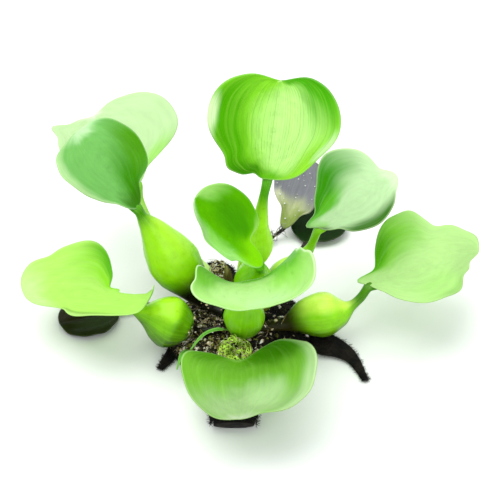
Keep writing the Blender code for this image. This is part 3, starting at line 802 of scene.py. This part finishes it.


# dark_left: a near-black leaf-shaped sheet with a thin stalk, laid under the left leaf as its painted shadow
# and reflection
leftShadeReflectionSheet = {
    "node": "dark_left", "slot": "old_dark", "seed": 11.0,
    "base": (-67.5, 21, 3), "heading": 198, "pitch": 0, "cup": (6, 8),
    "radii": (17, 18, 18, 18, 18.5, 18, 17.5, 17, 16.5, 16, 16, 16),
    "stalk": ((-8.5, 2, 10.8, 1.4), (-22, 11, 9.5, 1.7), (-38, 20, 7, 1.7), (-53, 24, 3.8, 1.6),
              (-66.5, 21, 2.8, 1.5)),
    "blade": {
        "base": (34, 40, 12), "streaks": 0.2, "streakTint": (58, 56, 26), "veinTint": (18, 18, 8),
        "rimPale": 0.1, "underTint": (24, 22, 10), "gloss": 0.05, "seeThrough": 0.02,
    },
    "patches": (
        ((0.3, -0.4), (0.4, 0.5), (46, 64, 20), 0.7),
        ((0.7, 0.4), (0.3, 0.5), (48, 36, 22), 0.7),
    ),
}
buildOldLeaf("darkLeft", leftShadeReflectionSheet)

# dark_back: a near-black leaf-shaped sheet with a thin stalk, lying low behind the right leaves
darkBackSheet = {
    "node": "dark_back", "slot": "old_dark", "seed": 12.0,
    "base": (38.5, 81, 3), "heading": 64, "pitch": 2, "cup": (14, 10),
    "radii": (19, 18, 18, 18, 17, 17, 17, 17, 16, 16, 17, 18),
    "stalk": ((7, 8.5, 10.8, 1.5), (16, 28, 8, 1.8), (22, 43, 5, 1.7), (30, 60, 3, 1.6),
              (38.5, 79, 3, 1.4)),
    "blade": {
        "base": (20, 46, 8), "streaks": 0.2, "streakTint": (34, 62, 16), "veinTint": (10, 24, 4),
        "rimPale": 0.1, "underTint": (16, 28, 10), "gloss": 0.05, "seeThrough": 0.02,
    },
    "patches": (
        ((0.6, 0.3), (0.3, 0.5), (14, 30, 6), 0.7),
    ),
}
buildOldLeaf("darkBack", darkBackSheet)

witheredLeaf = {
    "node": "withered_back", "slot": "old_gray", "seed": 13.0, "wave": 0.9,
    "base": (25.5, 88, 7), "heading": 62, "pitch": 38, "bend": 8, "cup": (35, 40),
    "radii": (22, 14, 15, 17, 20, 22, 23, 22, 19, 15, 12, 12),
    "stalk": ((1.5, 10.5, 10.5, 1.4), (3.5, 28, 8.5, 1.5), (4.5, 47, 5, 1.3), (9, 71, 2.2, 1),
              (18, 84, 3, 0.9), (25.5, 88, 7, 1)),
    "blade": {
        # grey-lavender base: the dead blade's grey together with painted sky reflection on its wet surface
        "base": (132, 130, 144), "streaks": 0.4, "streakTint": (160, 158, 168), "veinTint": (92, 88, 96),
        "rimPale": 0.7, "rimTint": (92, 94, 76), "underTint": (150, 146, 150), "underMix": 0.2,
        "seeThrough": 0.05, "roughness": 0.6,
    },
    "patches": (
        ((0.22, 0), (0.25, 1.4), (228, 228, 184), 0.97),
        ((0.34, -0.8), (0.16, 0.4), (232, 232, 196), 0.9),
        ((0.24, 0.6), (0.10, 0.3), (150, 160, 60), 0.7),
        ((0.06, 0), (0.36, 1.6), (120, 144, 30), 0.9),
    ),
}
buildOldLeaf("withered", witheredLeaf)


# strap leaves and sheath

def buildRibbon(name, stations, thickness, material, curl=0.4, rows=41, across=10):
    # a curled band through stations of x, y, z and half width: each ring runs over its top and back below
    path = smoothPath(stations, rows)
    ahead = unit(np.gradient(path[:, :3], axis=0))
    side = unit(np.cross(ahead, (0, 0, 1.0)))
    up = np.cross(side, ahead)
    lanes = [2 * column / across - 1 for column in range(across + 1)]
    ring = [(v, 1) for v in lanes] + [(v, -1) for v in reversed(lanes)]
    verts, places = [], []
    for row in range(rows):
        half = path[row, 3]
        for v, layer in ring:
            lift = curl * half * v * v + layer * thickness / 2 * (1 - 0.6 * v * v)
            verts.append(path[row, :3] + side[row] * v * half + up[row] * lift)
            places.append((row / (rows - 1), v, layer * max(abs(v), 0.001)))
    return makeObject(name, verts, tubeFaces(0, rows, len(ring)), material, places)


strapLeaf = {
    "paths": {
        "strap_leaf": ((-6.5, -7.5, 14.5, 0.7), (-9, -13, 20, 1.1), (-13, -15, 21.6, 1.2),
                       (-18, -16.1, 20, 1.1), (-22, -18, 17, 0.9), (-26, -20.6, 12.6, 0.4)),
        "strap_leaf_low": ((-26, -16, 6.5, 0.4), (-28.5, -18.5, 9.5, 0.9), (-31, -24.5, 12, 1),
                           (-33, -32, 9, 0.4)),
    },
    "thick": 0.6,
    # darker middle and pale edges are painted shading that rounds the flat strap
    "blade": {"base": (130, 204, 84), "rimTint": (215, 240, 170), "rimPale": 0.8, "veins": 3,
              "seeThrough": 0.15},
    "patches": (
        ((0.5, 0), (0.5, 0.5), (84, 166, 40), 0.9),
    ),
}
strapSkin = leafMaterial("strapSkin", strapLeaf)
for nodeName, stations in strapLeaf["paths"].items():
    strap = buildRibbon(nodeName.replace("_", "") + "Blade", stations, strapLeaf["thick"], strapSkin)
    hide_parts(nodeName)

sheathScale = {
    "path": ((-5.5, 12, 21, 2.4), (-6.1, 12.9, 27, 3.2), (-6.9, 14.1, 35, 2.56), (-7.5, 15, 41, 0.8)),
    "thick": 0.45,
    "blade": {
        "base": (112, 86, 46), "veins": 8, "veinTint": (96, 70, 34),
        "rimTint": (215, 195, 150), "underTint": (120, 90, 50), "roughness": 0.6, "seeThrough": 0.1,
    },
    "patches": (
        ((0.9, 0), (0.2, 0.8), (196, 172, 118), 0.8),
        ((0.2, 0), (0.4, 0.8), (48, 34, 16), 0.8),
    ),
}
sheath = buildRibbon("sheathScale", sheathScale["path"], sheathScale["thick"],
                     leafMaterial("sheathSkin", sheathScale))
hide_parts("sheath")
print("strap leaves and sheath")


# crown

crownSkin = {"dark": (52, 38, 16), "light": (112, 92, 44), "patchScale": 160, "flecks": 0.6,
             "roughness": 0.55, "fleck": (170, 150, 100)}
crown = nodes["crown"]
crown.data.materials.clear()
crown.data.materials.append(fibreMaterial("crownSkin", crownSkin))
print("crown")


# root mat
# sizes, lengths and widths below are a least value and what chance adds to it

rootMat = {
    "felt": {"dark": (8, 7, 5), "light": (28, 23, 15), "patchScale": 90, "flecks": 0.25, "roughness": 0.6,
             "fleck": (80, 70, 46)},
    "darkFibre": {"dark": (8, 7, 5), "light": (46, 38, 24), "patchScale": 140, "fleck": (120, 110, 76)},
    "paleFibre": {"dark": (120, 100, 60), "light": (214, 204, 170), "patchScale": 260, "flecks": 0.3,
                  "roughness": 0.6, "fleck": (110, 120, 60)},
    "paleCrumb": {"dark": (206, 186, 140), "light": (252, 250, 240), "flecks": 0.3, "roughness": 0.7,
                  "fleck": (130, 108, 64)},
    "darkCrumb": {"dark": (50, 46, 16), "light": (140, 140, 56), "flecks": 0.5, "roughness": 0.7,
                  "fleck": (160, 190, 60)},
    "blackCrumb": {"dark": (8, 7, 5), "light": (34, 28, 18), "fleck": (90, 80, 50)},
    "radius": 41, "rough": 0.5, "seed": 5,
    "fibres": 2000, "fibreLength": (4, 8), "fibreWidth": (0.18, 0.2), "paleShare": 0.36,
    "crumbs": 4200, "crumbSize": (0.45, 1.5), "crumbMix": {"pale": 0.45, "dark": 0.4, "black": 0.3},
    "scattered": 0.06,
}


def matEdge(angle):
    return rootMat["radius"] * (1 + 0.05 * sin(3 * angle + 0.6) + 0.04 * sin(5 * angle + 5.0))


def matSpot(dice, inset):
    # a random place on the mat, and its direction from the middle
    angle, share = dice.random() * 2 * pi, sqrt(dice.random())
    reach = matEdge(angle) * share * inset
    return angle, reach * cos(angle), reach * sin(angle)


def littered(x, y):
    # litter lies thick on the left, thin on the right
    return min(max(0.7 - x / 20, 0.02), 1.0)


def vary(dice, least, extra):
    return least + extra * dice.random()


def pick(dice, mix):
    return dice.choices(list(mix), list(mix.values()))[0]


def emptyStores(*kinds):
    return {kind: ([], []) for kind in kinds}


def buildFelt(groundAt, rings=44, spokes=150):
    verts = [Vector((0, 0, groundAt(0, 0)))]
    for ring in range(1, rings + 1):
        for spoke in range(spokes):
            angle = 2 * pi * spoke / spokes
            reach = matEdge(angle) * min(ring / rings, 0.995)
            x, y = reach * cos(angle), reach * sin(angle)
            rough = noise.noise(Vector((x, y, 0)) * 0.35) + 0.6 * noise.noise(Vector((x, y, 7)) * 1.1)
            verts.append(Vector((x, y, max(groundAt(x, y) + rootMat["rough"] * rough, 0.6))))
    verts += [Vector((v.x, v.y, 0.05)) for v in verts[-spokes:]]
    faces = discFaces(0, rings + 1, spokes)
    faces.append(tuple(reversed(range(len(verts) - spokes, len(verts)))))
    felt = makeObject("rootFelt", verts, faces, fibreMaterial("feltSkin", rootMat["felt"]))
    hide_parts("root_mat")


def buildMatFibres(groundAt, dice):
    stores = emptyStores("dark", "pale")
    for _ in range(rootMat["fibres"]):
        angle, x, y = matSpot(dice, inset=0.97)
        kind = "pale" if dice.random() < littered(x, y) * rootMat["paleShare"] else "dark"
        heading = angle + dice.gauss(0, 0.9)
        length = vary(dice, *rootMat["fibreLength"])
        points = []
        for _ in range(6):
            z = groundAt(x, y)
            if z <= 0:
                break
            points.append(Vector((x, y, z + vary(dice, 0.3, 0.7))))
            heading += dice.gauss(0, 0.3)
            x += cos(heading) * length / 5
            y += sin(heading) * length / 5
        if len(points) > 2:
            addFibre(stores[kind], points, vary(dice, *rootMat["fibreWidth"]))
    for kind, store in stores.items():
        skin = fibreMaterial(kind + "FibreSkin", rootMat[kind + "Fibre"])
        fibres = storeObject(kind + "Fibres", store, skin)


def buildMatCrumbs(groundAt, dice):
    stores = emptyStores("pale", "dark", "black")
    for _ in range(rootMat["crumbs"]):
        _, x, y = matSpot(dice, inset=0.95)
        if dice.random() > rootMat["scattered"] + littered(x, y):
            continue
        kind = pick(dice, rootMat["crumbMix"])
        addCrumb(stores[kind], Vector((x, y, groundAt(x, y) + 0.45)), rootMat["crumbSize"], dice)
    for kind, store in stores.items():
        skin = fibreMaterial(kind + "CrumbSkin", rootMat[kind + "Crumb"])
        crumbs = storeObject(kind + "Crumbs", store, skin, smooth=False)


def buildRootMat():
    mesh = nodes["root_mat"].data
    solid = BVHTree.FromPolygons([v.co / mm for v in mesh.vertices],
                                 [tuple(face.vertices) for face in mesh.polygons])

    def groundAt(x, y):
        hit = solid.ray_cast(Vector((x, y, 60)), Vector((0, 0, -1)))
        return hit[0].z if hit[0] else 0.0

    dice = random.Random(rootMat["seed"])
    buildFelt(groundAt)
    buildMatFibres(groundAt, dice)
    buildMatCrumbs(groundAt, dice)


buildRootMat()
print("root mat")


# litter caught between the stalks, the green tangle on the bottom float, twigs on the withered leaf and white
# flecks on it that are painted glints

heap = {
    "core": {"dark": (14, 12, 9), "light": (52, 46, 34), "patchScale": 200, "flecks": 0.5,
             "roughness": 0.7, "fleck": (150, 135, 95)},
    "seed": 9, "crumbs": 560, "crumbSize": (0.4, 0.8), "crumbMix": {"pale": 0.5, "dark": 0.25, "black": 0.25},
    "fibres": 160, "fibreLength": (3, 3), "fibreWidth": (0.16, 0.12),
}
buriedFeet = {
    # how far out from the middle litter covers each float or stalk, and how high
    "reach": {"float_left": 31, "float_upper_left": 31, "float_right": 24, "float_front_cup": 12,
              "old_stalk_dark_left": 36},
    "highest": 22, "tries": 360, "fibreShare": 0.45, "paleFibres": 0.4, "fibreLength": (3, 3),
    "fibreWidth": 0.26, "crumbSize": (0.5, 0.7), "crumbMix": {"pale": 0.45, "dark": 0.35, "black": 0.2},
}
tangle = {
    "fibre": {"dark": (100, 130, 14), "light": (204, 244, 90), "patchScale": 160, "flecks": 0.25,
              "fleck": (60, 54, 20)},
    "front": -38, "tries": 340, "greenShare": 0.75, "fibreLength": (2.5, 4), "fibreWidth": (0.2, 0.5),
    "paleShare": 0.2, "crumbSize": (0.3, 0.6),
}
witheredGlintsAndTwigs = {
    # white flecks: painted glints
    "fleck": {"dark": (210, 210, 214), "light": (252, 252, 252), "flecks": 0.1, "roughness": 0.6,
              "fleck": (170, 170, 160)},
    "flecks": 40, "fleckSize": (0.25, 0.45),
    "twig": {"dark": (70, 68, 58), "light": (150, 148, 136), "patchScale": 200, "roughness": 0.6,
             "fleck": (120, 140, 60)},
    "twigs": 150, "twigsFrom": 72, "twigLength": (3.5, 4.5), "twigWidth": 0.28,
}


def skinPoints(node, count, dice, lowest):
    # random places on a node's skin, where its outward direction has at least this much up in it
    mesh = nodes[node].data
    faces = [f for f in mesh.polygons if f.normal.z > lowest]
    picks = dice.choices(faces, weights=[f.area for f in faces], k=count)
    for face in picks:
        corners = [mesh.vertices[i].co / mm for i in face.vertices][:3]
        a, b = dice.random(), dice.random()
        if a + b > 1:
            a, b = 1 - a, 1 - b
        spot = corners[0] + (corners[1] - corners[0]) * a + (corners[2] - corners[0]) * b
        yield spot, face.normal.copy()


def layFibre(store, spot, normal, length, width, dice, lift=0.5, lowest=0.4):
    # a short bent fibre that follows the skin and stays above the table
    along = normal.cross(Vector((dice.gauss(0, 1), dice.gauss(0, 1), dice.gauss(0, 1)))).normalized()
    bend = normal.cross(along) * dice.gauss(0, 0.25)
    points = []
    for t in (0.0, 0.25, 0.5, 0.75, 1.0):
        rise = 0.3 + lift * (1 - (2 * t - 1) ** 2) - 0.7 * abs(t - 0.5)
        point = spot + (along + bend * t) * length * t + normal * rise
        point.z = max(point.z, lowest)
        points.append(point)
    addFibre(store, points, width)


def buildCore():
    core = nodes["detritus"].data
    verts = []
    for v in core.vertices:
        spot = v.co / mm
        shift = Vector((noise.noise(spot * 0.4), noise.noise(spot * 0.4 + Vector((9, 0, 0))), 0))
        verts.append(spot + shift * 0.6)
    lump = makeObject("litterCore", verts, [tuple(f.vertices) for f in core.polygons],
                      fibreMaterial("litterCoreSkin", heap["core"]))
    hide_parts("detritus")


def coverHeap(stores, dice):
    for spot, normal in skinPoints("detritus", heap["crumbs"], dice, lowest=-0.6):
        addCrumb(stores[pick(dice, heap["crumbMix"])], spot + normal * 0.2, heap["crumbSize"], dice)
    for spot, normal in skinPoints("detritus", heap["fibres"], dice, lowest=-0.6):
        length, width = vary(dice, *heap["fibreLength"]), vary(dice, *heap["fibreWidth"])
        layFibre(stores["fibre"], spot, normal, length, width, dice)


def coverFeet(stores, dice):
    for node, reach in buriedFeet["reach"].items():
        for spot, normal in skinPoints(node, buriedFeet["tries"], dice, lowest=-0.2):
            if hypot(spot.x, spot.y) >= reach or spot.z >= buriedFeet["highest"]:
                continue
            if dice.random() < buriedFeet["fibreShare"]:
                kind = "fibre" if dice.random() < buriedFeet["paleFibres"] else "black"
                length = vary(dice, *buriedFeet["fibreLength"])
                layFibre(stores[kind], spot, normal, length, buriedFeet["fibreWidth"], dice)
            else:
                kind = pick(dice, buriedFeet["crumbMix"])
                addCrumb(stores[kind], spot + normal * 0.2, buriedFeet["crumbSize"], dice)


def layTangle(stores, dice):
    least, extra = tangle["fibreWidth"]
    for spot, normal in skinPoints("float_bottom", tangle["tries"], dice, lowest=0.15):
        if spot.y > tangle["front"] and spot.z > 13:
            kind = "green" if dice.random() < tangle["greenShare"] else "fibre"
            length = vary(dice, *tangle["fibreLength"])
            layFibre(stores[kind], spot, normal, length, least + extra * dice.random() ** 2, dice, lift=1.3)
    for spot, normal in skinPoints("float_bottom", tangle["tries"], dice, lowest=0.3):
        if spot.y > tangle["front"] and spot.z > 15:
            kind = "pale" if dice.random() < tangle["paleShare"] else "dark"
            addCrumb(stores[kind], spot + normal * 0.3, tangle["crumbSize"], dice)


def coverWithered(stores, dice):
    # white flecks on the withered blade: painted glints
    for spot, normal in skinPoints("old_blade_withered_back", witheredGlintsAndTwigs["flecks"], dice, lowest=0.1):
        addCrumb(stores["glint"], spot + normal * 0.2, witheredGlintsAndTwigs["fleckSize"], dice)
    for spot, normal in skinPoints("old_stalk_withered_back", witheredGlintsAndTwigs["twigs"], dice, lowest=-0.3):
        if spot.y > witheredGlintsAndTwigs["twigsFrom"]:
            length = vary(dice, *witheredGlintsAndTwigs["twigLength"])
            layFibre(stores["twig"], spot, normal, length, witheredGlintsAndTwigs["twigWidth"], dice, lift=1.5)


def buildLitter():
    dice = random.Random(heap["seed"])
    looks = {"pale": rootMat["paleCrumb"], "dark": rootMat["darkCrumb"], "black": rootMat["blackCrumb"],
             "glint": witheredGlintsAndTwigs["fleck"], "fibre": rootMat["paleFibre"], "green": tangle["fibre"],
             "twig": witheredGlintsAndTwigs["twig"]}
    stores = emptyStores(*looks)
    buildCore()
    coverHeap(stores, dice)
    coverFeet(stores, dice)
    layTangle(stores, dice)
    coverWithered(stores, dice)
    for kind, look in looks.items():
        skin = fibreMaterial(kind + "LitterSkin", look)
        pile = storeObject(kind + "Litter", stores[kind], skin, smooth=False)


buildLitter()
print("litter")


# root tresses

tresses = {
    "flatness": 0.32, "hairs": 7, "hairReach": (1.2, 1.4), "hairWidth": 0.1, "strandWidth": 0.28,
    "strands": (70, 24), "seed": 20, "steps": 25, "sides": 20,
    "skin": {"dark": (8, 7, 6), "light": (34, 28, 20), "patchScale": 140, "flecks": 0.15,
             "fleck": (90, 80, 60)},
    # x, y and half width
    "paths": {
        # the right tress lies where the right float's shadow and reflection fall: its black is painted shadow
        # and reflection as well as roots
        "root_tress_right": ((41.5, -5.5, 8), (48, -7, 8.2), (56, -11, 5.8), (62.3, -18.5, 3.2),
                             (66.8, -31.5, 1.6)),
        "root_tress_front": ((-4, -43.5, 9), (-4, -50, 11), (-3, -57, 13), (-3, -66.5, 12)),
        "root_tress_back": ((-13, 44, 10), (-13, 49, 10), (-13, 54, 9.5), (-12, 59, 8)),
        "root_tress_left": ((-38, -14, 3.2), (-39, -16.5, 2.8), (-40.5, -19.5, 2.2), (-42.5, -23, 1.2)),
    },
}


def strandPoints(path, ahead, side, dice):
    # one rootlet along the tress, which may reach back under the felt
    across = dice.uniform(-1, 1)
    drift = dice.gauss(0, 0.25)
    start = dice.randrange(0, 8)
    points = []
    if start < 3:
        root = path[0, :2] + side[0] * across * path[0, 2] * 0.9 - ahead[0] * vary(dice, 3, 3)
        points.append(Vector((*root, vary(dice, 1.5, 1.5))))
    for index in range(start, len(path), 2):
        share = index / (len(path) - 1)
        off = max(min(across + drift * share + dice.gauss(0, 0.05), 1.0), -1.0)
        half = path[index, 2]
        spot = path[index, :2] + side[index] * off * half * 0.97
        roof = (half * sqrt(max(1 - off * off, 0)) + half) * tresses["flatness"]
        points.append(Vector((*spot, max(roof * vary(dice, 0.9, 0.12), 0.35))))
    return points


def addHair(store, at, dice):
    turn = dice.random() * 2 * pi
    reach = vary(dice, *tresses["hairReach"])
    tip = at + Vector((cos(turn) * reach, sin(turn) * reach, 0.5 * dice.random()))
    tip.z = max(tip.z, 0.2)
    addFibre(store, [at, (at + tip) / 2 + Vector((0, 0, 0.2)), tip], tresses["hairWidth"], 0.5)


def buildTress(nodeName, stations, skin, dice):
    path = smoothPath(stations, tresses["steps"])
    ahead = unit(np.gradient(path[:, :2], axis=0))
    side = np.stack([-ahead[:, 1], ahead[:, 0]], axis=1)
    bundle = [(x, y, half * 0.86 + 0.3, half * 0.86) for x, y, half in path]
    verts, faces, _ = loftTube(bundle, tresses["sides"], 0.06, len(nodeName))
    verts[:, 2] = np.maximum(verts[:, 2], 0.2) * tresses["flatness"]
    store = ([Vector(v) for v in verts], faces)
    least, perWidth = tresses["strands"]
    widest = max(half for _, _, half in stations)
    for _ in range(int(least + perWidth * widest)):
        points = strandPoints(path, ahead, side, dice)
        addFibre(store, points, tresses["strandWidth"], 0.4)
        for _ in range(tresses["hairs"]):
            addHair(store, points[dice.randrange(len(points))], dice)
    tress = storeObject(nodeName.replace("root_tress_", "") + "Tress", store, skin)
    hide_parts(nodeName)


tressSkin = fibreMaterial("tressSkin", tresses["skin"])
for index, (nodeName, stations) in enumerate(tresses["paths"].items()):
    buildTress(nodeName, stations, tressSkin, random.Random(tresses["seed"] + index))
print("root tresses")
